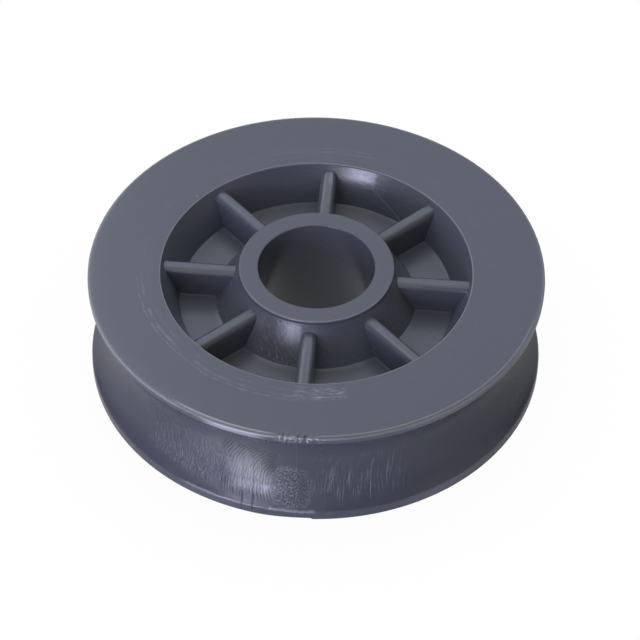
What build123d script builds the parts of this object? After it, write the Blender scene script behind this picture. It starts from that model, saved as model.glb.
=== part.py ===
"""Wire rope sheave, moulded in one piece.

The sheave is a body of revolution about +Z with the rope groove round its rim, a plain bore through
its hub and a ring-shaped pocket in each face. Radial ribs divide both pockets. The origin is on the
bore's axis, half way between the two flange faces. Sizes are in millimetres.
"""

import math
import os

from build123d import *

# Rim and rope groove
FLANGE_RADIUS = 50.0  # outer radius of both flanges
FACE_WIDTH = 25.6  # from one flange face to the other
UPPER_LAND = 1.6  # from the upper flange's face to the edge of the groove
LOWER_LAND = 2.2  # from the lower flange's face to the edge of the groove
GROOVE_DEPTH = 4.8  # from the flange's edge down to the bottom of the groove

# Hub and bore
BORE_RADIUS = 12.75  # for an axle of 25 mm
BORE_EDGE_BREAK = 0.3  # chamfer at each mouth of the bore
HUB_WALL = 4.35  # wall round the bore, at the hub's end face
HUB_PROJECTION = 1.05  # how far the hub stands out past the flange face
HUB_COLLAR = 0.9  # height of the straight collar below the hub's end face
HUB_EDGE_BREAK = 0.3  # chamfer at the outer edge of the hub's end face
HUB_DRAFT = 30.0  # slope of the hub's cone from the axis, in degrees

# Pockets and web
POCKET_RADIUS = 34.1  # of the pocket's mouth, at the flange face
WEB_THICKNESS = 8.8  # between the floors of the two pockets
POCKET_DRAFT = 26.0  # slope of the pocket's outer wall from the axis, in degrees
POCKET_LIP = 0.4  # height of the straight lip at the pocket's mouth

# Ribs
RIB_COUNT = 8  # in each pocket
RIB_THICKNESS = 3.5  # at the top, before it is rounded
RIB_DROP = 1.3  # from the flange face down to the top of the rib
RIB_DRAFT = 1.5  # slope of each side of a rib, in degrees
RIB_TOP_FLAT = 0.7  # width of the flat left between the two roundings of the rib's top

# Heights above the middle plane, and radii, that follow from the sizes above
flange_top = FACE_WIDTH / 2
hub_top = flange_top + HUB_PROJECTION
web_top = WEB_THICKNESS / 2
rib_top = flange_top - RIB_DROP
hub_radius = BORE_RADIUS + HUB_WALL
collar_bottom = hub_top - HUB_COLLAR
hub_foot_radius = hub_radius + (collar_bottom - web_top) * math.tan(math.radians(HUB_DRAFT))
lip_bottom = flange_top - POCKET_LIP
floor_radius = POCKET_RADIUS - (lip_bottom - web_top) * math.tan(math.radians(POCKET_DRAFT))
groove_upper = flange_top - UPPER_LAND
groove_lower = LOWER_LAND - flange_top
groove_bottom_radius = FLANGE_RADIUS - GROOVE_DEPTH


def face_section():
    """Return the upper outline from the bore to the flange's edge, as (radius, height) pairs."""
    return [
        (BORE_RADIUS, hub_top - BORE_EDGE_BREAK),
        (BORE_RADIUS + BORE_EDGE_BREAK, hub_top),
        (hub_radius - HUB_EDGE_BREAK, hub_top),
        (hub_radius, hub_top - HUB_EDGE_BREAK),
        (hub_radius, collar_bottom),
        (hub_foot_radius, web_top),
        (floor_radius, web_top),
        (POCKET_RADIUS, lip_bottom),
        (POCKET_RADIUS, flange_top),
        (FLANGE_RADIUS, flange_top),
    ]


def section():
    """Return the whole section, with radius along x and height along y."""
    upper = face_section()
    lower = [(radius, -height) for radius, height in reversed(upper)]
    upper_edge = (FLANGE_RADIUS, groove_upper)
    lower_edge = (FLANGE_RADIUS, groove_lower)
    groove_middle = (groove_bottom_radius, (groove_upper + groove_lower) / 2)
    straights = Polyline(lower_edge, *lower, *upper, upper_edge)
    groove = ThreePointArc(upper_edge, groove_middle, lower_edge)
    return make_face([*straights.edges(), groove])


def corner(outline, across, height):
    """Return the corner of the outline that is nearest to a place in its plane."""
    return outline.vertices().sort_by_distance((across, height))[0]


def turned_body():
    """Return the sheave without its ribs, as its section turned about the bore's axis."""
    return revolve(Plane.XZ * section(), axis=Axis.Z)


def rib():
    """Return one rib of the upper pocket, along +X, with its ends inside the hub and the rim."""
    half_top = RIB_THICKNESS / 2
    half_foot = half_top + (rib_top - web_top) * math.tan(math.radians(RIB_DRAFT))
    top_corner = math.radians(90 - RIB_DRAFT)
    top_radius = (RIB_THICKNESS - RIB_TOP_FLAT) / 2 / math.tan(top_corner / 2)
    outline = make_face(
        Polyline(
            (half_foot, 0),
            (half_foot, web_top),
            (half_top, rib_top),
            (-half_top, rib_top),
            (-half_foot, web_top),
            (-half_foot, 0),
            close=True,
        )
    )
    for side in (-1, 1):
        outline = fillet(corner(outline, side * half_top, rib_top), top_radius)
    hub_end = BORE_RADIUS + HUB_WALL / 2
    rim_end = (POCKET_RADIUS + groove_bottom_radius) / 2
    return extrude(Plane.YZ.offset(hub_end) * outline, rim_end - hub_end)


def sheave():
    """Return the whole sheave: the turned body with its ribs on both sides."""
    upper_rib = rib()
    pair = [upper_rib, mirror(upper_rib, about=Plane.XY)]
    pitch = 360 / RIB_COUNT
    ribs = [Rot(0, 0, pitch * place) * side for place in range(RIB_COUNT) for side in pair]
    return turned_body() + ribs


os.makedirs("parts", exist_ok=True)
export_step(sheave(), "parts/sheave.step")
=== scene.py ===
"""Wire rope sheave: the moulded wheel's surface, its grey plastic, and a plain stage to see it on."""

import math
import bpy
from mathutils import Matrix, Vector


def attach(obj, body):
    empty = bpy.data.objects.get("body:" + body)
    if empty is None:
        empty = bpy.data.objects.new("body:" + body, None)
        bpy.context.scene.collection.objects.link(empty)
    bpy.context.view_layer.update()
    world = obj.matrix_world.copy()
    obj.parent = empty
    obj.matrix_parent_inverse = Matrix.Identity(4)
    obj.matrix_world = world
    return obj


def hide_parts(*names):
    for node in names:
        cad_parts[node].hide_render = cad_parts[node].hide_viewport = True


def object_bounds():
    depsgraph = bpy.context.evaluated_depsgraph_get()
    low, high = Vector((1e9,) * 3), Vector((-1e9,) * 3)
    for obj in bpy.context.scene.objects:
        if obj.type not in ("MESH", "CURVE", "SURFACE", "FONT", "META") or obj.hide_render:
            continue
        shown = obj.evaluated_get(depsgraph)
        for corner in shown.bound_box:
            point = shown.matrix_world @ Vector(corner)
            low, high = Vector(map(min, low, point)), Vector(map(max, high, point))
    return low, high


bl_info = {
    "name": "Rope Sheave",
    "version": (1, 0, 0),
    "blender": (4, 5, 0),
    "location": "3D View > Sidebar > Sheave",
    "description": "Builds a one-piece moulded rope sheave with its finish, and a stage for it",
    "category": "Mesh",
}

import bpy
import numpy as np
from mathutils import Matrix, Vector

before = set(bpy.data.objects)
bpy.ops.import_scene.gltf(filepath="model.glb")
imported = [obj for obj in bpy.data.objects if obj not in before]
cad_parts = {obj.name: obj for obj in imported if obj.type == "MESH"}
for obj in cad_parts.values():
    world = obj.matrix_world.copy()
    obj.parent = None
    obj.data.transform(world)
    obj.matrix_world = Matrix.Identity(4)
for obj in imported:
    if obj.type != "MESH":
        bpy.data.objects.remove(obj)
CAD_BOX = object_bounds()
CAD_LOW, CAD_HIGH = (Vector(corner) for corner in CAD_BOX)
NODE = "sheave"
MM = 0.001

# The wheel's grid
GAP_STEPS = 14  # columns from one rib to the next
SEAM_STEPS = 52  # the same beside the seam's rib, where the rim is chipped
SEAM_CROWDING = 1.7  # power that draws those columns towards the seam
GUARD = 0.2 * MM  # from a rounding's end to the next row, which keeps the flat beside it flat
CREASE = math.radians(24)  # where two faces turn by more than this they meet in a sharp edge

# Damage beside the seam. Places along the rim are in millimetres from it, to the right.
NICKED = ((-4.2, -3.2), (4.8, 6.0))  # where the nicks grow, and where they fade
NICK_FADE = (0.5, 1.05)  # in from the edge
NICK_SLANT = 0.65  # how much the way down the rim counts, against the same way in
NICK_DROP = 0.6  # how much they take from the height, against the radius
NICK_DROP_FADE = (0.2, 0.9)  # down from the face
NICK_DEPTH = 0.6 * MM
NICKS = (  # place, width, and share of the full depth
    (-3.6, 0.3, 0.6),
    (-2.7, 0.35, 0.8),
    (-1.4, 0.25, 0.4),
    (0.8, 0.3, 0.6),
    (2.3, 0.8, 0.8),
    (4.2, 0.3, 0.7),
)
WORN_FLAT = ((-9.0, 2.5), (3.2, 3.9))  # where the flat grows, and where it ends
FLAT_FADE = (0.3, 1.9)  # up from the lower face
FLAT_DEPTH = 0.28 * MM

# Places of the finish. Heights are from the wheel's middle plane, and places along the groove from
# the seam, in millimetres. Turns round the axis are in radians from the seam. Right is positive. A
# window is given by its low end, its high end and the width of its soft edges. An area of the groove
# is a window along it and a window of heights.
MARK_RADIUS = 46.0  # at which a turn is read as a place along the groove
GATE = (-0.9, -5.9)
PATCH_RADIUS = 4.4  # of the grainy patch over the gate
RING_PITCH = 0.68  # of the flow rings round the gate
RINGED = ((-18.0, -2.5, 3.0), (-10.2, 4.5, 3.0))
RIDGED = ((1.0, 14.0, 4.0), (-8.0, 4.5, 3.0))
STROKED_LEFT = ((-40.0, -5.0, 7.0), (-10.0, 2.5, 3.0))
STROKED_RIGHT = ((18.0, 44.0, 7.0), (1.0, 10.5, 3.0))
WISPY = ((2.5, 26.0, 6.0), (-9.8, 3.0, 3.0))
CRACKS = ((-9.6, 0.1, 0.5), (-12.3, 0.14, 0.6))  # place, lean and waver of each crack
CRACK_WIDTH = 0.22
CRACK_HEIGHTS = (-12.6, -1.5, 1.5)
SEAM_WIDTH = 0.2
BURR_HEIGHT = -10.5
# Burrs on the groove's lower edge, left of the gate, with a painted highlight along them
BURRS_AND_GLINT_LEFT = (-25.0, -11.0, 3.0)
BURRS_MIDDLE = (-5.5, 4.5, 1.0)
SHINING = ((-17.0, 1.5, 5.0), (-9.8, 3.5, 4.0))
# Area of a faint painted sheen in the groove, left of the seam
PAINTED_SHEEN_AREA = ((-27.0, -0.1, 5.0), (-6.0, 12.0, 4.0))
FRONT_LEFT_CELL = (-0.62, -0.05)  # turns of the pocket's cell left of the seam's rib
FLOW_LINE = (2.245, 16.0)  # turn where the wall's flow line has height 0, and its rise per radian
FLOW_LINE_TURNS = (2.5, 2.86, 0.04)
SHINING_WALL = (2.8, 2.84)  # turns where the pocket's wall begins to shine
RUBBED_RINGS = ((38.1, 0.5, 1.0), (39.2, 0.28, 1.0), (36.6, 0.25, 0.7))  # radius, width, strength
SCUFFED = ((-0.06, 0.28, 0.06), (34.5, 39.4, 1.2))  # turns and radii
# Turns of the painted highlights and painted shade on the upper rim, of the lands' painted reflection,
# and of the painted highlight on the hub's front edge
RIM_FRONT_LEFT = (-0.6, -0.05, 0.12)
RIM_FRONT_RIGHT = (0.0, 1.4, 0.12)
RIM_RIGHT = (-0.4, 2.9, 0.7)
LAND_RIGHT = (0.35, 2.4, 0.3)
HUB_FRONT = (-1.3, 1.4, 0.5)
CHIPPED = (-4.3, 6.0, 0.8)  # along the rim, by the same radius as in the groove
# Colour of painted shade, which darkens the groove's hollow rings and cracks and a line along the rim's
# band
PAINTED_SHADE = (0.02, 0.02, 0.03, 1.0)

# The stage. Each lamp has its bearing from the front, height, half width in degrees, and brightness.
LAMP_DISTANCE = 0.8
LAMPS = (
    ("key", -21.0, 11, 9, (5.6, 5.6, 7.7)),
    ("key_edge", -33.0, 11, 10, (3.3, 3.3, 4.7)),
    ("key_upper", -27.0, 24, 10, (2.0, 2.0, 2.8)),
    ("key_top", -27.4, 42, 13, (1.9, 1.8, 2.1)),
    ("key_front", -6, 12, 9, (0.4, 0.4, 0.4)),
    ("spill", -27.4, 22, 35, (0.44, 0.43, 0.46)),
    ("overhead", 0, 90, 30, (1.0, 1.03, 0.86)),
    ("rear", 180, 42, 25, (1.03, 1.09, 1.33)),
    ("rear_left", -130, 45, 25, (0.96, 0.94, 1.08)),
    ("left", -90, 25, 25, (0.12, 0.12, 0.13)),
    ("rear_right", 130, 40, 25, (0.58, 0.60, 0.60)),
    ("right", 80, 30, 25, (0.25, 0.20, 0.14)),
)
WHITE = (1.0, 1.0, 1.0, 1.0)
SEEN_RAYS = ("Is Camera Ray", "Is Glossy Ray", "Is Transmission Ray")
HORIZON = (0.3, 0.12)  # brightness of the surroundings as the plastic mirrors them, and their height
FLOOR_SIDE = 6.0
FLOOR_WHITENESS = 0.97  # share of plain white in the floor beside the part
# The floor as the plastic mirrors it carries a painted shadow, darker to the right and the front, and a
# painted glow below the key lamps, which only mirrored rays see
FLOOR_DIMMING = 0.53  # how much darker the plastic mirrors the floor than it is
FLOOR_SLANT = (0.14, 0.18)  # more of that to the right, and to the front
FLOOR_GLOW = 5.6  # brightness that the plastic mirrors from the key lamps' patch of floor
GLOW_BEARINGS = (-0.62, -0.17, 0.13)
GLOW_START = (0.05, 0.08)  # in metres from the wheel's axis
GLOW_TINT = (0.76, 0.79, 1.0, 1.0)


# ---------------------------------------------------------------- settings


def length(name, description, millimetres):
    """Return a length property whose default is given in millimetres."""
    return bpy.props.FloatProperty(
        name=name,
        description=description,
        default=millimetres * MM,
        min=0.0,
        precision=5,
        unit="LENGTH",
        subtype="DISTANCE",
    )


def angle(name, description, degrees):
    """Return an angle property whose default is given in degrees."""
    return bpy.props.FloatProperty(
        name=name,
        description=description,
        default=math.radians(degrees),
        unit="ROTATION",
        subtype="ANGLE",
    )


def amount(name, description, default, high=1.0):
    """Return a plain number property, from 0 up."""
    return bpy.props.FloatProperty(
        name=name, description=description, default=default, min=0.0, max=high, subtype="FACTOR"
    )


def colour(name, description, default):
    """Return a colour property."""
    return bpy.props.FloatVectorProperty(
        name=name, description=description, default=default, min=0.0, max=1.0, subtype="COLOR"
    )


class SheaveSizes(bpy.types.PropertyGroup):
    """Sizes of the moulded wheel."""

    flange_radius: length("Flange radius", "Outer radius of both flanges", CAD_HIGH.x / MM)
    hub_half_length: length("Half hub length", "From the middle to a hub face", CAD_HIGH.z / MM)
    face_width: length("Face width", "From one flange face to the other", 25.6)
    upper_land: length("Upper land", "From the upper flange's face to the groove", 1.6)
    lower_land: length("Lower land", "From the lower flange's face to the groove", 2.2)
    rim_round: length("Rim rounding", "Radius of the outer edge of each flange's face", 0.25)
    rim_slope_width: length("Rim slope", "Width of the sloping band at a flange's edge", 0.9)
    rim_slope: angle("Rim slope angle", "Fall of that band towards the edge", 8.0)
    land_round: length("Land rounding", "Radius of the edge between the groove and a land", 0.8)
    groove_depth: length("Groove depth", "From the flange's edge to the groove's bottom", 4.8)
    edge_round: length("Edge rounding", "Radius of the hub's outer edges", 0.3)
    mouth_round: length("Mouth rounding", "Radius of the edge round each pocket", 0.2)
    bore_radius: length("Bore radius", "Radius of the bore", 12.75)
    hub_wall: length("Hub wall", "Wall round the bore at the hub's face", 4.35)
    hub_collar: length("Hub collar", "Height of the straight collar under the hub's face", 0.9)
    hub_draft: angle("Hub draft", "Slope of the hub's cone from the axis", 30.0)
    pocket_radius: length("Pocket radius", "Radius of the pocket's mouth", 34.1)
    pocket_lip: length("Pocket lip", "Height of the straight lip at the pocket's mouth", 0.4)
    pocket_draft: angle("Pocket draft", "Slope of the pocket's wall from the axis", 26.0)
    wall_arch: length("Wall arch", "How far the pocket's wall arches towards the axis", 0.3)
    cone_hollow: length("Cone hollow", "How far the hub's cone is hollowed", 0.2)
    web_thickness: length("Web thickness", "Between the floors of the two pockets", 8.8)
    rib_count: bpy.props.IntProperty(
        name="Ribs", description="Number of ribs in each pocket", default=8, min=3, max=16
    )
    rib_thickness: length("Rib thickness", "Thickness at the top, before rounding", 3.5)
    rib_drop: length("Rib drop", "From the flange face down to a rib's top", 1.3)
    rib_flat: length("Rib flat", "Width of the flat on a rib's top", 0.7)
    rib_draft: angle("Rib draft", "Slope of a rib's sides", 1.5)
    root_radius: length("Root radius", "Hollow rounding where anything meets the web", 0.15)


class SheaveFinish(bpy.types.PropertyGroup):
    """Colour and sheen of the plastic."""

    plastic: colour("Plastic", "Colour of the plastic", (0.084, 0.090, 0.117))
    roughness: amount("Roughness", "Roughness of the moulded skin", 0.26)
    gloss: amount("Gloss", "Strength of the mirrored light", 0.5)
    relief: amount("Relief", "Height of the flow marks, against the moulded ones", 1.0, high=3.0)
    wear: amount("Wear", "How strongly the rub marks show", 1.0)
    # This colour serves the rubbed plastic and also the painted highlights and painted reflection of the
    # rim, groove, cone, hub edge and pocket mouth
    worn_and_highlit: colour("Worn plastic", "Colour of the plastic where it was rubbed", (0.30, 0.31, 0.36))


class SheaveStage(bpy.types.PropertyGroup):
    """Camera, floor and lights."""

    camera_turn: angle("Camera turn", "Camera's place round the part from the front", 4.6)
    camera_height: angle("Camera height", "Camera's elevation above the horizon", 44.738)
    camera_distance: length("Camera distance", "From the upper flange's centre", 668.65)
    camera_tilt: angle("Camera tilt", "How far the camera looks below that centre", 0.944)
    camera_pan: angle("Camera pan", "How far the camera looks right of that centre", 0.0785)
    camera_roll: angle("Camera roll", "Turn of the camera about its own axis", 0.683)
    focal_length: bpy.props.FloatProperty(
        name="Focal length", description="Focal length in millimetres", default=171.95, min=10.0
    )
    floor_colour: colour("Floor", "Colour of the floor", (0.9, 0.9, 0.9))


# ---------------------------------------------------------------- surface of the wheel


def arc(centre, radius, first, last, steps):
    """Points on a circle: centre plus radius times cosine and sine of evenly spaced angles."""
    turn = np.radians(np.linspace(first, last, steps + 1))
    return np.column_stack((centre[0] + radius * np.cos(turn), centre[1] + radius * np.sin(turn)))


def level(radii, height):
    """Points at the given radii, all at one height."""
    return np.column_stack((radii, np.full(len(radii), height)))


def smooth(value, low, high):
    """A smooth step: with a share t of the way from low to high it is t squared times 3 less 2 t."""
    share = np.clip((value - low) / (high - low), 0, 1)
    return share * share * (3 - 2 * share)


def rib_outline(sizes):
    """Half of a rib's cross-section, from the middle of its top to its foot on the web.

    Each row is the distance across the rib and the height: a flat, a quarter circle for the shoulder,
    a straight drafted side, and a hollow quarter circle that ends level with the web.
    """
    draft = sizes.rib_draft
    top = sizes.face_width / 2 - sizes.rib_drop
    shoulder = (sizes.rib_thickness - sizes.rib_flat) / 2 / math.tan((math.pi / 2 - draft) / 2)
    crown = arc((sizes.rib_flat / 2, top - shoulder), shoulder, 90, math.degrees(draft), 7)
    foot_height = sizes.web_thickness / 2 + sizes.root_radius
    foot_across = (
        sizes.rib_thickness / 2
        + (top - foot_height) * math.tan(draft)
        + sizes.root_radius / math.cos(draft)
    )
    foot = arc((foot_across, foot_height), sizes.root_radius, 180 + math.degrees(draft), 270, 4)
    side = np.linspace(crown[-1], foot[0], 6)[1:-1]
    return np.vstack(([[0, top]], crown, side, foot))


def rooted_wall(heights, wall, slope, sizes, outward):
    """Radius of a sloping wall at each height, with a hollow quarter circle at its foot.

    Above the rounding the radius is the wall's. Below it, it is the rounding's centre less or plus
    the root of the squared rounding's radius less the squared drop below that centre.
    """
    centre_height = sizes.web_thickness / 2 + sizes.root_radius
    centre = wall(centre_height) + outward * sizes.root_radius / math.cos(slope)
    drop = np.clip(centre_height - heights, 0, sizes.root_radius)
    rounded = centre - outward * np.sqrt(sizes.root_radius**2 - drop**2)
    rounding_top = centre_height - sizes.root_radius * math.sin(slope)
    return np.where(heights < rounding_top, rounded, wall(heights))


def hub_rows(sizes):
    """Upper section from the middle of the bore over the hub's end face to its outer edge."""
    top, edge = sizes.hub_half_length, sizes.edge_round
    bore, outer = sizes.bore_radius, sizes.bore_radius + sizes.hub_wall
    guard = edge  # from a rounding's end to the next row, as GUARD is elsewhere
    return np.vstack(
        (
            [[bore, 0], [bore, top / 2], [bore, top - edge - guard]],
            arc((bore + edge, top - edge), edge, 180, 90, 5),
            level([bore + edge + guard, outer - edge - guard], top),
            arc((outer - edge, top - edge), edge, 90, 0, 5),
        )
    )


def pocket_rows(sizes, levels):
    """Upper section of a pocket without its ribs: cone, floor and wall.

    The rows on the cone and the wall lie at the heights of the rib's own points, so that the edge
    where a rib meets them runs through corners of the grid. Both slopes bow towards the axis: with
    a share t of the way up the slope, by the bow times 4 t times 1 less t.
    """
    web = sizes.web_thickness / 2
    hub_radius = sizes.bore_radius + sizes.hub_wall
    collar = sizes.hub_half_length - sizes.hub_collar
    lip = sizes.face_width / 2 - sizes.pocket_lip

    def bowed(height, top, bow):
        share = (height - web) / (top - web)
        return 4 * bow * share * (1 - share)

    def cone(height):
        straight = hub_radius + (collar - height) * math.tan(sizes.hub_draft)
        return straight - bowed(height, collar, sizes.cone_hollow)

    def wall(height):
        straight = sizes.pocket_radius - (lip - height) * math.tan(sizes.pocket_draft)
        return straight - bowed(height, lip, sizes.wall_arch)

    down = np.concatenate((np.linspace(collar, levels[0], 4)[:-1], levels))
    up = np.concatenate((levels[::-1], np.linspace(levels[0], lip, 3)[1:]))
    cone_radii = rooted_wall(down, cone, sizes.hub_draft, sizes, 1)
    wall_radii = rooted_wall(up, wall, sizes.pocket_draft, sizes, -1)
    floor_radii = np.linspace(cone_radii[-1], wall_radii[0], 7)[1:-1]
    cone_rows = np.column_stack((cone_radii, down))
    wall_rows = np.column_stack((wall_radii, up))
    return np.vstack((cone_rows, level(floor_radii, web), wall_rows))


def face_rows(sizes):
    """Upper section from the pocket's mouth over the flange's face and round the flange's edge.

    The face ends in a narrow band that falls gently outwards. The edge's arc touches that band and
    the upright land below: its centre lies under the band by the radius, measured square to it.
    """
    top, outer = sizes.face_width / 2, sizes.flange_radius
    edge, mouth, slope = sizes.rim_round, sizes.mouth_round, sizes.rim_slope
    inner = sizes.pocket_radius + mouth + GUARD
    band = outer - sizes.rim_slope_width
    below = (edge + (outer - edge - band) * math.sin(slope)) / math.cos(slope)
    start = (band + GUARD, top - GUARD * math.tan(slope))
    turned_edge = arc((outer - edge, top - below), edge, 90 - math.degrees(slope), 0, 7)
    land_end = (outer, top - sizes.upper_land + sizes.land_round)
    return np.vstack(
        (
            arc((sizes.pocket_radius + mouth, top - mouth), mouth, 180, 90, 3),
            level(np.linspace(inner, band - GUARD, 6), top),
            np.linspace(start, turned_edge[0], 5)[:-1],
            turned_edge,
            np.linspace(turned_edge[-1], land_end, 4)[1:-1],
        )
    )


def groove_rows(sizes):
    """Section of the rope groove, from the edge of the upper land to the edge of the lower one.

    It is a large hollow arc through the groove's bottom, with a small arc at each end that turns the
    edge: it touches the land and the hollow arc, which without it would meet the land at its end.
    """
    outer, depth, edge = sizes.flange_radius, sizes.groove_depth, sizes.land_round
    half = (sizes.face_width - sizes.upper_land - sizes.lower_land) / 2
    middle = (sizes.lower_land - sizes.upper_land) / 2
    radius = (half**2 + depth**2) / 2 / depth
    centre = outer - depth + radius
    reach = math.acos((centre - outer + edge) / (radius + edge))
    height = (radius + edge) * math.sin(reach)
    turn = math.degrees(reach)
    return np.vstack(
        (
            arc((outer - edge, middle + height), edge, 0, -turn, 8),
            arc((centre, middle), radius, 180 - turn, 180 + turn, 28)[1:-1],
            arc((outer - edge, middle - height), edge, turn, 0, 8),
        )
    )


def gap_shares(number, seam_rib):
    """Shares of the gap after a rib at which the grid has a column, without the gap's two ends.

    They are evenly spaced, apart from the gaps on both sides of the seam's rib. There they are more,
    and a power draws them towards that rib.
    """
    if number == seam_rib:
        return (np.arange(1, SEAM_STEPS) / SEAM_STEPS) ** SEAM_CROWDING
    if number == seam_rib - 1:
        return 1 - (1 - np.arange(1, SEAM_STEPS) / SEAM_STEPS) ** SEAM_CROWDING
    return np.arange(1, GAP_STEPS) / GAP_STEPS


def rib_columns(sizes, rib):
    """The grid's columns round the wheel, as distance across a rib, height, share and rib angle.

    The columns over a rib follow its cross-section from foot to foot. Between one rib's foot and the
    next the share rises from 0 to 1. Ribs are counted from +X towards +Y, and the seam's rib is the
    one at -Y, three quarters of the way round.
    """
    pitch = 2 * math.pi / sizes.rib_count
    section = np.vstack((rib[::-1] * (-1, 1), rib[1:]))
    columns = []
    for number in range(sizes.rib_count):
        free = gap_shares(number, sizes.rib_count * 3 // 4)
        on_rib, in_gap = (np.full(count, number * pitch) for count in (len(section), len(free)))
        foot = np.tile(rib[-1], (len(free), 1))
        columns.append(np.column_stack((section, np.zeros(len(section)), on_rib)))
        columns.append(np.column_stack((foot, free, in_gap)))
    return np.vstack(columns).T


def wheel_grid(sizes):
    """Points of the wheel as a closed grid: one parameter runs round the axis, one round the section.

    The angle of a point is its rib's angle, plus the angle whose sine is the distance across the rib
    over the radius, plus its share of the gap to the next rib. Inside a pocket its height is the
    larger of the section's and the rib's. The lower half mirrors the upper one.
    """
    rib = rib_outline(sizes)
    hub, pocket, groove = hub_rows(sizes), pocket_rows(sizes, rib[1:, 1]), groove_rows(sizes)
    upper = np.vstack((hub, pocket, face_rows(sizes)))
    section = np.vstack((upper, groove, upper[:0:-1] * (1, -1)))
    ribbed = np.zeros(len(upper), bool)
    ribbed[len(hub) : len(hub) + len(pocket)] = True
    ribbed = np.concatenate((ribbed, np.zeros(len(groove), bool), ribbed[:0:-1]))
    across, height, share, rib_angle = rib_columns(sizes, rib)
    radius, bare = section[:, :1], section[:, 1:]
    foot = np.arcsin(rib[-1, 0] / radius)
    pitch = 2 * math.pi / sizes.rib_count
    turn = rib_angle + np.arcsin(across / radius) + share * (pitch - 2 * foot)
    raised = np.copysign(np.maximum(np.abs(bare), height), bare)
    tall = np.where(ribbed[:, None], raised, bare + 0 * turn)
    radius, tall = chipped(radius + 0 * turn, tall, turn + math.pi / 2, sizes)
    grid = np.stack((radius * np.cos(turn), radius * np.sin(turn), tall), -1)
    return grid, np.abs(section[:, 1]), height


def chipped(radius, height, turn, sizes):
    """Radii and heights with the damage beside the seam: nicks above, and a worn flat below.

    The nicks' depth is a sum of bell curves of the place along the rim, waved by a sine of that place
    and of the way in from the edge. They take more from the radius than from the height. The flat
    Radii and heights with the damage beside the seam: nicks above, and a rubbed flat below.
    and both only go inwards.
    """
    along = (np.remainder(turn + math.pi, 2 * math.pi) - math.pi) * sizes.flange_radius / MM
    fall = (sizes.face_width / 2 - height) / MM
    across = (sizes.flange_radius - radius) / MM + NICK_SLANT * fall
    places, widths, depths = (np.array(row) for row in zip(*NICKS))
    bells = depths * np.exp(-(((along[..., None] - places) / widths) ** 2))
    lumps = bells.sum(-1) * (0.8 + 0.3 * np.sin(4.3 * along - 3.1 * across))
    nicked = smooth(along, *NICKED[0]) * (1 - smooth(along, *NICKED[1]))
    nick = NICK_DEPTH * (nicked * (1 - smooth(across, *NICK_FADE))) * np.clip(lumps, 0, 1)
    rise = (sizes.face_width / 2 + height) / MM
    flat = smooth(along, *WORN_FLAT[0]) * (1 - smooth(along, *WORN_FLAT[1]))
    flat = flat * (1 - smooth(rise, *FLAT_FADE))
    drop = NICK_DROP * nick * (1 - smooth(fall, *NICK_DROP_FADE))
    return radius - nick - FLAT_DEPTH * flat, height - drop


def grid_triangles(shape, row_height, column_height):
    """Triangles of a grid that closes on itself both ways.

    Each cell is cut from its first to its third corner, or the other way where the section rises
    while the rib falls or the reverse, so that the cut follows the edge between a rib and a wall.
    """
    rows, columns = (np.arange(count) for count in shape)
    row, column = np.meshgrid(rows, columns, indexing="ij")
    next_row, next_column = (row + 1) % shape[0], (column + 1) % shape[1]
    first = row * shape[1] + column
    second = next_row * shape[1] + column
    third = next_row * shape[1] + next_column
    fourth = row * shape[1] + next_column
    rise = np.sign(np.roll(row_height, -1) - row_height)[:, None]
    climb = np.sign(np.roll(column_height, -1) - column_height)
    other_way = (rise * climb < 0)[..., None]
    usual = np.stack((first, second, third, first, third, fourth), -1)
    other = np.stack((first, second, fourth, second, third, fourth), -1)
    cells = np.where(other_way, other, usual).reshape(-1, 6)
    return np.concatenate((cells[:, :3], cells[:, 3:]))


def triangle_mesh(name, points, triangles, crease):
    """Make a mesh of triangles, smooth apart from edges that turn by more than the crease angle."""
    mesh = bpy.data.meshes.new(name)
    mesh.vertices.add(len(points))
    mesh.loops.add(triangles.size)
    mesh.polygons.add(len(triangles))
    mesh.vertices.foreach_set("co", points.astype(np.float32).ravel())
    mesh.loops.foreach_set("vertex_index", triangles.astype(np.int32).ravel())
    mesh.polygons.foreach_set("loop_start", np.arange(0, triangles.size, 3, dtype=np.int32))
    mesh.update(calc_edges=True)
    mesh.validate()
    mesh.shade_smooth()
    mesh.set_sharp_from_angle(angle=crease)
    return mesh


# ---------------------------------------------------------------- shader maths


class Reading:
    """A number that varies over a surface. Sums on it are written in Python and add their nodes."""

    def __init__(self, shade, socket):
        self.shade = shade
        self.socket = socket

    def __add__(self, other):
        return self.shade.maths("ADD", self, other)

    def __sub__(self, other):
        return self.shade.maths("SUBTRACT", self, other)

    def __rsub__(self, other):
        return self.shade.maths("SUBTRACT", other, self)

    def __mul__(self, other):
        return self.shade.maths("MULTIPLY", self, other)

    def __truediv__(self, other):
        return self.shade.maths("DIVIDE", self, other)

    def __neg__(self):
        return self.shade.maths("MULTIPLY", self, -1.0)

    def __abs__(self):
        return self.shade.maths("ABSOLUTE", self)

    __radd__ = __add__
    __rmul__ = __mul__


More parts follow.
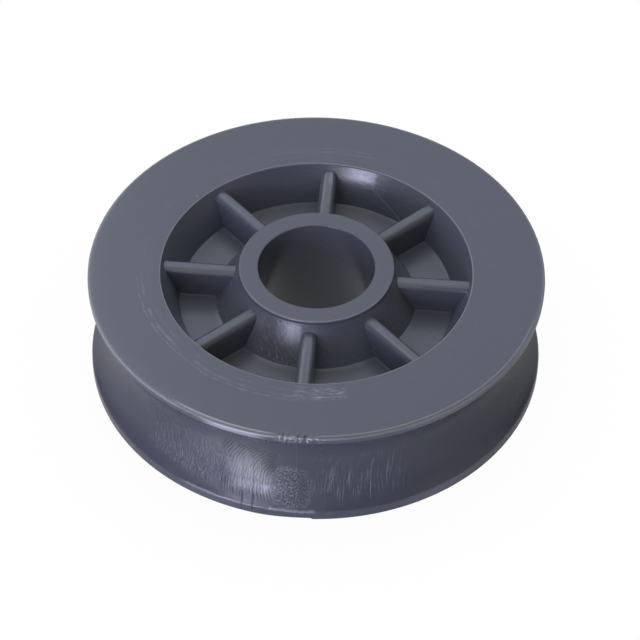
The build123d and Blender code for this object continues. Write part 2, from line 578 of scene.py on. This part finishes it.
class Shade:
    """The nodes of one material or of the world."""

    def __init__(self, owner):
        owner.use_nodes = True
        self.tree = owner.node_tree
        self.tree.nodes.clear()

    def node(self, kind, settings=None, values=None, output=0):
        """Add a node, set its settings, then give its sockets their values or links."""
        node = self.tree.nodes.new(kind)
        for name, setting in (settings or {}).items():
            setattr(node, name, setting)
        for name, value in (values or {}).items():
            socket = node.inputs[name]
            if isinstance(value, Reading):
                self.tree.links.new(value.socket, socket)
            else:
                socket.default_value = value
        return Reading(self, node.outputs[output]) if node.outputs else None

    def maths(self, operation, *values):
        """One Math node."""
        return self.node("ShaderNodeMath", {"operation": operation}, dict(enumerate(values)))

    def larger(self, one, other):
        """The larger of two readings."""
        return self.maths("MAXIMUM", one, other)

    def at_most_one(self, value):
        """A reading, with 1 in place of all that is larger."""
        return self.maths("MINIMUM", value, 1.0)

    def flat(self, across, along):
        """A vector in a plane."""
        return self.node("ShaderNodeCombineXYZ", values={"X": across, "Y": along})

    def scaled(self, vector, factor):
        """A vector or a colour times a number."""
        values = {"Vector": vector, "Scale": factor}
        return self.node("ShaderNodeVectorMath", {"operation": "SCALE"}, values)

    def split(self, vector, axes):
        """The parts of a vector along some of its axes."""
        values = {"Vector": vector}
        return [self.node("ShaderNodeSeparateXYZ", values=values, output=axis) for axis in axes]

    def rise(self, value, low, high):
        """A smooth step from 0 where the value is low to 1 where it is high."""
        return self.node(
            "ShaderNodeMapRange",
            {"interpolation_type": "SMOOTHSTEP"},
            {"Value": value, "From Min": low, "From Max": high},
        )

    def window(self, value, low, high, soft):
        """1 between two values, with soft edges inside them."""
        return self.rise(value, low, low + soft) * (1 - self.rise(value, high - soft, high))

    def area(self, across, up, windows):
        """1 inside a rectangle, with soft edges: the product of a window across and one up."""
        return self.window(across, *windows[0]) * self.window(up, *windows[1])

    def line(self, value, width):
        """1 where the value is nought, fading away within a width on both sides."""
        return 1 - self.rise(abs(value), 0.3 * width, width)

    def grain(self, vector, per_mm, detail=2.0, rough=0.5):
        """Noise about 0.5, with a number of cells to the millimetre of its vector."""
        values = {"Vector": vector, "Scale": per_mm, "Detail": detail, "Roughness": rough}
        return self.node("ShaderNodeTexNoise", values=values)

    def tint(self, share, one, other):
        """A colour between two, by a share from 0 to 1. Sockets 6 and 7 are the Mix node's colours."""
        return self.node(
            "ShaderNodeMix", {"data_type": "RGBA"}, {"Factor": share, 6: one, 7: other}, output=2
        )


class Spot:
    """Where a point of the wheel lies, and the wheel's main sizes, in millimetres and radians."""

    def __init__(self, shade, sizes):
        self.place = shade.scaled(shade.node("ShaderNodeTexCoord", output="Object"), 1 / MM)
        x, y, self.height = shade.split(self.place, "XYZ")
        self.radius = shade.maths("SQRT", x * x + y * y)
        self.turn = shade.maths("ARCTAN2", x, -y)
        self.along = self.turn * MARK_RADIUS
        self.face = sizes.face_width / 2 / MM
        self.rim = sizes.flange_radius / MM
        self.mouth = sizes.pocket_radius / MM
        self.hub = (sizes.bore_radius + sizes.hub_wall) / MM
        self.hub_top = sizes.hub_half_length / MM
        self.groove_bottom = (sizes.flange_radius - sizes.groove_depth) / MM
        self.web = sizes.web_thickness / 2 / MM
        self.rib_top = (sizes.face_width / 2 - sizes.rib_drop) / MM
        self.rib_count = sizes.rib_count


# ---------------------------------------------------------------- finishes


def groove_marks(shade, spot):
    """Relief, in millimetres, and tone of the flow marks in the rope groove, where the mould filled.

    A grainy patch lies over the gate, with painted glints that are strongest left of the seam. Rings
    round it, where the sine of the distance to the gate is large, are thin hollows darkened by painted
    shade on the left and faint ridges on the right. Short slanting strokes with painted glints lie
    beyond them, and upright wisps on the right. Two cracks darkened by painted shade stand on the left,
    the mould's seam runs up through the middle, and broken flash lines lie near the groove's lower
    edge, painted as a highlight on the left.
    """
    along, height = spot.along, spot.height
    across, up = along - GATE[0], height - GATE[1]
    place = shade.flat(along, height)
    wander = shade.grain(place, 0.35) - 0.5
    ragged = shade.grain(place, 1.1, 3.0) - 0.5
    reach = shade.maths("SQRT", across * across + up * up)
    patch = 1 - shade.rise(reach / PATCH_RADIUS + 0.9 * wander, 0.7, 1.2)
    pebbles = shade.grain(place, 2.6, 3.0, 0.65) - 0.5
    left = 1 - shade.rise(along, -1.5, 1.5)
    # Painted glints on the grainy patch, stronger left of the seam
    sparkle = shade.rise(pebbles, -0.01, 0.12) * patch * (0.35 + 0.65 * left)
    rings = shade.maths("SINE", (reach + wander + 0.35 * ragged) * (2 * math.pi / RING_PITCH))
    broken = shade.rise(shade.grain(shade.flat(along * 0.5, height * 0.25), 1.0), 0.36, 0.52)
    hollows = shade.rise(rings, 0.3, 0.95) * broken * shade.area(along, height, RINGED) * (1 - patch)
    ridges = shade.rise(rings, 0.6, 1.0) * broken * shade.area(along, height, RIDGED)
    slanting = shade.flat((along + 0.35 * height) * 2.6, height * 0.55)
    strokes = shade.grain(slanting, 1.0, rough=0.6) - 0.5
    stroked = shade.area(along, height, STROKED_LEFT) * (1 - patch)
    stroked = stroked + 0.6 * shade.area(along, height, STROKED_RIGHT)
    upright = shade.flat((along - 0.15 * height + 0.8 * wander) * 2.6, height * 0.16)
    wisps = shade.rise(shade.grain(upright, 1.0, rough=0.6), 0.5, 0.72)
    wisps = wisps * shade.area(along, height, WISPY)
    cracks = sum(
        shade.line(along - at + lean * height + waver * wander, CRACK_WIDTH)
        for at, lean, waver in CRACKS
    )
    cracks = cracks * shade.window(height, *CRACK_HEIGHTS)
    seam = shade.line(along, SEAM_WIDTH)
    to_burr = height - BURR_HEIGHT + 0.5 * ragged
    # Burrs along the lower edge; on the left their pale tone is a painted highlight
    burrs_and_glint = shade.line(to_burr, 0.3) * shade.window(along, *BURRS_AND_GLINT_LEFT)
    burrs_and_glint = burrs_and_glint + shade.line(to_burr + 0.4 * wander, 0.4) * shade.window(along, *BURRS_MIDDLE)
    relief = (
        0.5 * pebbles * patch
        - 0.1 * hollows
        + 0.34 * strokes * stroked
        + 0.05 * wisps
        + 0.04 * ridges
        - 0.06 * cracks
        + 0.02 * seam
        + 0.06 * burrs_and_glint
    )
    # The tone paints light: glints on the patch and the strokes, shade in the hollow rings and the
    # cracks, and a highlight on the lower edge at the left
    tone = (
        4.2 * sparkle
        - 0.8 * hollows
        + 0.65 * shade.rise(strokes, 0.05, 0.2) * stroked
        + 1.3 * wisps
        + 0.35 * ridges
        - 0.7 * cracks
        + 0.3 * seam
        + 2.2 * burrs_and_glint
    )
    return relief, tone


def pocket_marks(shade, spot):
    """Relief, in millimetres, and tone of the marks on the hub's cone and the pocket's wall.

    Steep scratches lie on the cone, deepest in the cell left of the seam's rib, and level lines on
    the wall. The scratches' rises are lightened by painted glints. A flow line slants down the wall:
    its height rises evenly with the turn round the axis.
    """
    turn, height = spot.turn, spot.height
    cone = shade.window(spot.radius, spot.hub - 0.1, spot.hub + 6.4, 0.3)
    wall = shade.window(spot.radius, spot.mouth - 4.6, spot.mouth - 0.1, 0.3)
    wander = shade.grain(shade.flat(turn * 16.0, height), 0.5) - 0.5
    steep = shade.flat(turn * 42.0 + height * 0.9 + 2.0 * wander, height * 0.8)
    scratches = (shade.grain(steep, 1.0, 4.0, 0.7) - 0.5) * cone
    scratches = scratches * (0.15 + shade.window(turn, *FRONT_LEFT_CELL, 0.1))
    level_lines = (shade.grain(shade.flat(turn * 9.0, height * 3.2), 1.0, 3.0, 0.6) - 0.5) * wall
    flow = shade.line(height - FLOW_LINE[1] * (turn - FLOW_LINE[0]) + 0.4 * wander, 0.16)
    flow = flow * wall * shade.window(turn, *FLOW_LINE_TURNS)
    relief = 0.8 * scratches + 0.08 * level_lines - 0.06 * flow
    # Painted glints lighten the scratches' rises; the flow line is pale
    return relief, 9.0 * shade.larger(scratches, 0.0) + 0.8 * flow


def rubbed(shade, spot):
    """Where the upper flange's face was rubbed: rub rings, a scuffed patch and a few specks.

    The rings are broken by noise and lie where the radius, made ragged, is near that of a ring. They
    show most at the left of the front, and again at the back.
    """
    place, turn, radius = spot.place, spot.turn, spot.radius
    face = shade.rise(spot.height, spot.face - 0.2, spot.face - 0.05)
    wander = shade.grain(place, 0.12) - 0.5
    broken = shade.rise(shade.grain(place, 0.2, 5.0, 0.75), 0.4, 0.72)
    ragged = shade.grain(place, 1.6, 3.0, 0.7) - 0.5
    edge = radius + 1.2 * wander + 0.5 * ragged
    rings = sum(strength * shade.line(edge - at, width) for at, width, strength in RUBBED_RINGS) * broken
    aside, behind = shade.rise(abs(turn + 0.75), 0.5, 1.0), shade.rise(abs(turn), 2.75, 3.0)
    rings = rings * (1.6 - 1.4 * aside + 0.5 * behind)
    scratches = shade.grain(shade.flat(turn * 15.0, radius * 2.4), 1.0, 3.0, 0.65)
    scuffed = shade.rise(scratches, 0.47, 0.66) * shade.area(turn, radius, SCUFFED)
    dots = shade.node("ShaderNodeTexVoronoi", values={"Vector": place, "Scale": 0.11}, output="Distance")
    specks = 1 - shade.rise(dots, 0.02, 0.035)
    return face * (0.8 * rings + 1.8 * scuffed + specks)


def rim_marks(shade, spot):
    """Pale tone, dark tone and shine of the upper rim.

    At the front a painted highlight runs where the sloping band begins, and on the right a painted
    shade line along the band. The corner under the band is a painted highlight line all round, which
    also shines, faintest on the front's left. The lands carry a faint painted reflection, stronger on
    the right, and the nicks show broken, pale plastic.
    """
    turn, radius, height = spot.turn, spot.radius, spot.height
    front_left, front_right = shade.window(turn, *RIM_FRONT_LEFT), shade.window(turn, *RIM_FRONT_RIGHT)
    band = shade.rise(height, spot.face - 0.2, spot.face - 0.15)
    # Painted highlight where the sloping band begins
    inner = shade.line(radius - (spot.rim - 0.8), 0.3) * band * (0.9 * front_left + 0.35 * front_right)
    # Painted shade: a dark line along the band
    crease = shade.line(radius - (spot.rim - 0.45), 0.3) * band * front_right
    above = height - (spot.face - 0.3)
    # Painted highlight along the corner under the band
    corner = shade.line(above, 0.3) * shade.rise(radius, spot.rim - 0.6, spot.rim - 0.4)
    corner = corner * (1 - 0.5 * shade.window(turn, *RIM_RIGHT) - 0.4 * front_left)
    # Painted reflection on the lands, stronger on the right
    land = shade.rise(radius, spot.rim - 0.4, spot.rim - 0.1)
    land = land * (1 - shade.rise(abs(height), spot.face - 0.3, spot.face - 0.2))
    land = land * (0.1 + 0.3 * shade.window(turn, *LAND_RIGHT))
    broken = shade.window(spot.along, *CHIPPED) * shade.rise(height, spot.face - 1.4, spot.face - 1.2)
    broken = broken * shade.rise(radius - 0.6 * abs(above), spot.rim - 1.0, spot.rim - 0.6)
    broken = broken * shade.rise(shade.grain(spot.place, 1.3, 3.0, 0.7), 0.5, 0.6)
    return 0.7 * broken + land + inner + corner, 0.6 * crease, corner


def rib_tops(shade, spot):
    """1 on top of the ribs.

    Near a rib's middle line, the sine of half the number of ribs times the turn from +X, times the
    radius, is that half number times the distance across the rib.
    """
    half = spot.rib_count / 2
    across = abs(shade.maths("SINE", (spot.turn - math.pi / 2) * half)) * spot.radius
    top = shade.window(spot.height, spot.rib_top - 1.9, spot.rib_top + 0.2, 0.3)
    top = top * shade.window(spot.radius, spot.hub + 0.2, spot.mouth - 0.6, 0.3)
    return top * (1 - shade.rise(across, 1.75 * half, 1.95 * half))


def moulded_plastic(sizes, finish):
    """Grey moulded plastic with its flow marks, rub marks and scuffs.

    It shines where it was polished: in the groove left of the seam, on the wall right of the rear
    rib, on the cone left of the seam's rib, on the ribs' tops, and along the edges. Painted
    highlights lighten the rim's lines, the groove's glints, sheen and lower edge, the cone, the hub's
    front edge and the pocket's mouth, and a painted reflection lightens the lands. Painted shade
    darkens the groove's hollows and cracks and a line on the rim.
    """
    material = bpy.data.materials.new("moulded_plastic")
    shade = Shade(material)
    spot = Spot(shade, sizes)
    turn, radius, height = spot.turn, spot.radius, spot.height
    in_groove = shade.rise(radius, spot.groove_bottom - 1.2, spot.groove_bottom - 0.2)
    in_groove = in_groove * (1 - shade.rise(abs(height), spot.face - 0.5, spot.face - 0.3))
    in_pocket = shade.window(height, spot.web + 0.1, spot.face - 0.2, 0.2)
    shining = in_groove * shade.area(spot.along, height, SHINING)
    # A faint painted sheen, lightening the groove left of the seam
    painted_sheen = in_groove * shade.area(spot.along, height, PAINTED_SHEEN_AREA)
    wall = shade.window(radius, spot.mouth - 5.1, spot.mouth + 0.5, 0.4)
    wall = in_pocket * wall * shade.rise(turn, *SHINING_WALL)
    cone = shade.window(radius, spot.hub - 0.2, spot.hub + 6.4, 0.2)
    cone = in_pocket * cone * shade.window(turn, *FRONT_LEFT_CELL, 0.08)
    ribs = rib_tops(shade, spot)
    hub_edge = shade.rise(radius, spot.hub - 0.4, spot.hub - 0.25)
    hub_edge = hub_edge * (1 - shade.rise(radius, spot.hub, spot.hub + 0.1))
    hub_edge = hub_edge * shade.rise(height, spot.hub_top - 0.35, spot.hub_top - 0.25)
    mouth = shade.window(radius, spot.mouth - 0.1, spot.mouth + 0.35, 0.1)
    mouth = mouth * shade.rise(height, spot.face - 0.5, spot.face - 0.3)
    rim = shade.rise(radius, spot.rim - 1.1, spot.rim - 0.9)
    polished = shining + 0.9 * wall + cone + 0.6 * ribs + 0.8 * rim + hub_edge + mouth

    groove, groove_tone = groove_marks(shade, spot)
    pocket, pocket_tone = pocket_marks(shade, spot)
    tone = groove_tone * in_groove + pocket_tone * in_pocket
    rub = rubbed(shade, spot) * finish.wear
    rim_pale, rim_dark, rim_shine = rim_marks(shade, spot)
    clouds = shade.grain(spot.place, 0.09) - 0.5
    skin = shade.grain(spot.place, 5.0) - 0.5
    relief = finish.relief * (groove * in_groove + pocket * in_pocket) + 0.004 * skin + 0.01 * rub
    # pale mixes in the worn colour: wear of the rub marks and the broken rim, and painted highlights on
    # the rim's lines, the groove's glints, sheen and lower edge, the cone, the hub's front edge and the
    # pocket's mouth, with a painted reflection on the lands
    pale = rim_pale + 0.35 * rub + 0.3 * shade.larger(tone, 0.0) + 0.03 * painted_sheen + 0.12 * cone
    # Painted highlights: a pale line on the upper hub's edge at the front, and one round the upper
    # pocket's mouth
    pale = pale + 0.4 * hub_edge * shade.window(turn, *HUB_FRONT) + 0.4 * mouth
    # dark is painted shade: in the groove's hollow rings and cracks, and along the rim's band
    dark = rim_dark + 0.8 * shade.larger(-tone, 0.0)
    base = shade.tint(shade.at_most_one(pale), (*finish.plastic, 1.0), (*finish.worn_and_highlit, 1.0))
    surface = shade.node(
        "ShaderNodeBsdfPrincipled",
        values={
            "Base Color": shade.tint(shade.at_most_one(dark), base, PAINTED_SHADE),
            "Roughness": (finish.roughness + 0.08 * clouds + 0.04 * skin) * (1 - 0.45 * polished),
            "Coat Weight": shade.at_most_one(0.85 * shining + wall + cone + 0.25 * ribs + rim_shine),
            "Coat Roughness": 0.2,
            "Specular IOR Level": finish.gloss,
            "Normal": shade.node("ShaderNodeBump", values={"Distance": MM, "Height": relief}),
        },
    )
    shade.node("ShaderNodeOutputMaterial", values={"Surface": surface})
    return material


def seen_directly(shade):
    """1 for rays that show the backdrop itself: the camera's, mirrored and transmitted ones."""
    path = [shade.node("ShaderNodeLightPath", output=name) for name in SEEN_RAYS]
    return shade.larger(shade.larger(path[0], path[1]), path[2])


def pale_floor(stage):
    """A pale floor that keeps the part's shadow near it and turns plain white further out.

    The plastic mirrors it darker than it is, with a painted shadow darkest towards the front's right,
    and mirrors a painted glow, an emission that only mirrored rays see, on the part of the floor below
    the key lamps.
    """
    material = bpy.data.materials.new("pale_floor")
    shade = Shade(material)
    floor = shade.node(
        "ShaderNodeBsdfPrincipled",
        values={"Base Color": (*stage.floor_colour, 1.0), "Roughness": 1.0, "Specular IOR Level": 0.0},
    )
    mirrored = shade.node("ShaderNodeLightPath", output="Is Glossy Ray")
    place = shade.node("ShaderNodeTexCoord", output="Object")
    distance = shade.node("ShaderNodeVectorMath", {"operation": "LENGTH"}, {0: place}, output="Value")
    x, y = shade.split(place, "XY")
    dimmed = FLOOR_DIMMING + (FLOOR_SLANT[0] * x - FLOOR_SLANT[1] * y) / distance
    bearing = shade.maths("ARCTAN2", x, -y)
    glow = shade.window(bearing, *GLOW_BEARINGS) * shade.rise(distance, *GLOW_START)
    strength = 1 - mirrored * (dimmed - FLOOR_GLOW * glow)
    light = shade.scaled(shade.tint(mirrored * glow, WHITE, GLOW_TINT), strength)
    white = shade.node("ShaderNodeEmission", values={"Color": light, "Strength": 1.0})
    far = shade.rise(distance, CAD_HIGH.x, 1.7 * CAD_HIGH.x)
    share = seen_directly(shade) * (FLOOR_WHITENESS + (1 - FLOOR_WHITENESS) * far)
    surface = shade.node("ShaderNodeMixShader", values={0: share, 1: floor, 2: white})
    shade.node("ShaderNodeOutputMaterial", values={"Surface": surface})
    return material


def white_surroundings():
    """White surroundings, which the plastic mirrors only near the horizon and which light nothing."""
    world = bpy.data.worlds.new("surroundings")
    shade = Shade(world)
    toward = shade.node("ShaderNodeTexCoord", output="Generated")
    (height,) = shade.split(toward, "Z")
    mirrored = shade.node("ShaderNodeLightPath", output="Is Glossy Ray")
    dimmed = 1 - HORIZON[0] * (1 - shade.rise(height, 0.0, HORIZON[1]))
    brightness = 1 - mirrored * dimmed
    backdrop = shade.node("ShaderNodeBackground", values={"Color": WHITE, "Strength": brightness})
    dark = shade.node("ShaderNodeBackground", values={"Strength": 0.0})
    surface = shade.node("ShaderNodeMixShader", values={0: seen_directly(shade), 1: dark, 2: backdrop})
    shade.node("ShaderNodeOutputWorld", values={"Surface": surface})
    return world


# ---------------------------------------------------------------- operators


class SHEAVE_OT_wheel(bpy.types.Operator):
    """Build the moulded wheel's surface and give it its plastic"""

    bl_idname = "sheave.wheel"
    bl_label = "Moulded wheel"

    def execute(self, context):
        sizes, finish = context.scene.sheave_sizes, context.scene.sheave_finish
        grid, row_height, column_height = wheel_grid(sizes)
        triangles = grid_triangles(grid.shape[:2], row_height, column_height)
        mesh = triangle_mesh("sheave_moulding", grid.reshape(-1, 3), triangles, CREASE)
        mesh.materials.append(moulded_plastic(sizes, finish))
        wheel = bpy.data.objects.new("sheave_moulding", mesh)
        context.scene.collection.objects.link(wheel)
        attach(wheel, "root")
        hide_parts(NODE)
        return {"FINISHED"}


def turned(vector, axis, turn):
    """A vector turned about an axis."""
    return Matrix.Rotation(turn, 3, axis) @ vector


def place_camera(scene, stage):
    """Aim the camera from its turn and height round the upper flange's centre."""
    centre = Vector((0, 0, scene.sheave_sizes.face_width / 2))
    back = Vector((0, -math.cos(stage.camera_height), math.sin(stage.camera_height)))
    right = Vector((1, 0, 0))
    up = back.cross(right)
    look = turned(-back, right, -stage.camera_tilt)
    up = turned(up, right, -stage.camera_tilt)
    look = turned(look, up, -stage.camera_pan)
    right = look.cross(up)
    right, up = (
        right * math.cos(stage.camera_roll) + up * math.sin(stage.camera_roll),
        up * math.cos(stage.camera_roll) - right * math.sin(stage.camera_roll),
    )
    axes = Matrix((right, up, -look)).transposed()
    turn = Matrix.Rotation(stage.camera_turn, 4, "Z")
    camera = bpy.data.objects.new("camera", bpy.data.cameras.new("camera"))
    camera.data.lens = stage.focal_length
    camera.data.sensor_width = 36.0
    camera.matrix_world = turn @ Matrix.LocRotScale(centre + back * stage.camera_distance, axes, None)
    scene.collection.objects.link(camera)
    scene.camera = camera


def add_floor(scene, stage):
    """Lay the floor, a large square, under the part."""
    side, low = FLOOR_SIDE / 2, CAD_LOW.z
    corners = [(-side, -side, low), (side, -side, low), (side, side, low), (-side, side, low)]
    mesh = bpy.data.meshes.new("floor")
    mesh.from_pydata(corners, [], [(0, 1, 2, 3)])
    mesh.materials.append(pale_floor(stage))
    floor = bpy.data.objects.new("floor", mesh)
    scene.collection.objects.link(floor)


def add_softbox(scene, name, bearing, height, spread, brightness):
    """Add a round lamp that faces the wheel.

    Its bearing runs round the wheel from the front, and its height is above the horizon. Its spread
    is half the angle that it fills as seen from the wheel, and its brightness is that of its face.
    """
    bearing, height = math.radians(bearing), math.radians(height)
    reach = LAMP_DISTANCE * math.tan(math.radians(spread))
    strongest = max(brightness)
    lamp = bpy.data.lights.new(name, "AREA")
    lamp.shape = "DISK"
    lamp.size = 2 * reach
    lamp.energy = strongest * math.pi * math.pi * reach**2
    lamp.color = [part / strongest for part in brightness]
    flat = math.cos(height)
    aim = Vector((math.sin(bearing) * flat, -math.cos(bearing) * flat, math.sin(height)))
    softbox = bpy.data.objects.new(name, lamp)
    softbox.matrix_world = Matrix.LocRotScale(aim * LAMP_DISTANCE, aim.to_track_quat("Z", "Y"), None)
    softbox.visible_camera = False
    scene.collection.objects.link(softbox)


class SHEAVE_OT_stage(bpy.types.Operator):
    """Set up the camera, the floor, the lamps and the white surroundings"""

    bl_idname = "sheave.stage"
    bl_label = "Stage"

    def execute(self, context):
        scene, stage = context.scene, context.scene.sheave_stage
        place_camera(scene, stage)
        add_floor(scene, stage)
        for lamp in LAMPS:
            add_softbox(scene, *lamp)
        scene.world = white_surroundings()
        scene.view_settings.view_transform = "Standard"
        return {"FINISHED"}


class SHEAVE_PT_panel(bpy.types.Panel):
    """The part's builders, in the 3D view's sidebar"""

    bl_idname = "SHEAVE_PT_panel"
    bl_label = "Rope sheave"
    bl_space_type = "VIEW_3D"
    bl_region_type = "UI"
    bl_category = "Sheave"

    def draw(self, context):
        for operator, groups in BUILDERS:
            self.layout.operator(operator.bl_idname)
            for group in groups:
                settings = getattr(context.scene, group)
                for name in GROUPS[group].__annotations__:
                    self.layout.prop(settings, name)


CLASSES = (SheaveSizes, SheaveFinish, SheaveStage, SHEAVE_OT_wheel, SHEAVE_OT_stage, SHEAVE_PT_panel)
GROUPS = {"sheave_sizes": SheaveSizes, "sheave_finish": SheaveFinish, "sheave_stage": SheaveStage}
BUILDERS = ((SHEAVE_OT_wheel, ("sheave_sizes", "sheave_finish")), (SHEAVE_OT_stage, ("sheave_stage",)))


def register():
    """Register the classes and hang the settings on the scene."""
    for each in CLASSES:
        bpy.utils.register_class(each)
    for name, group in GROUPS.items():
        setattr(bpy.types.Scene, name, bpy.props.PointerProperty(type=group))


def unregister():
    """Take the settings and the classes away again."""
    for name in GROUPS:
        delattr(bpy.types.Scene, name)
    for each in reversed(CLASSES):
        bpy.utils.unregister_class(each)


def main():
    """Build the wheel and its stage."""
    register()
    bpy.ops.sheave.wheel()
    bpy.ops.sheave.stage()


if __name__ == "__main__":
    main()
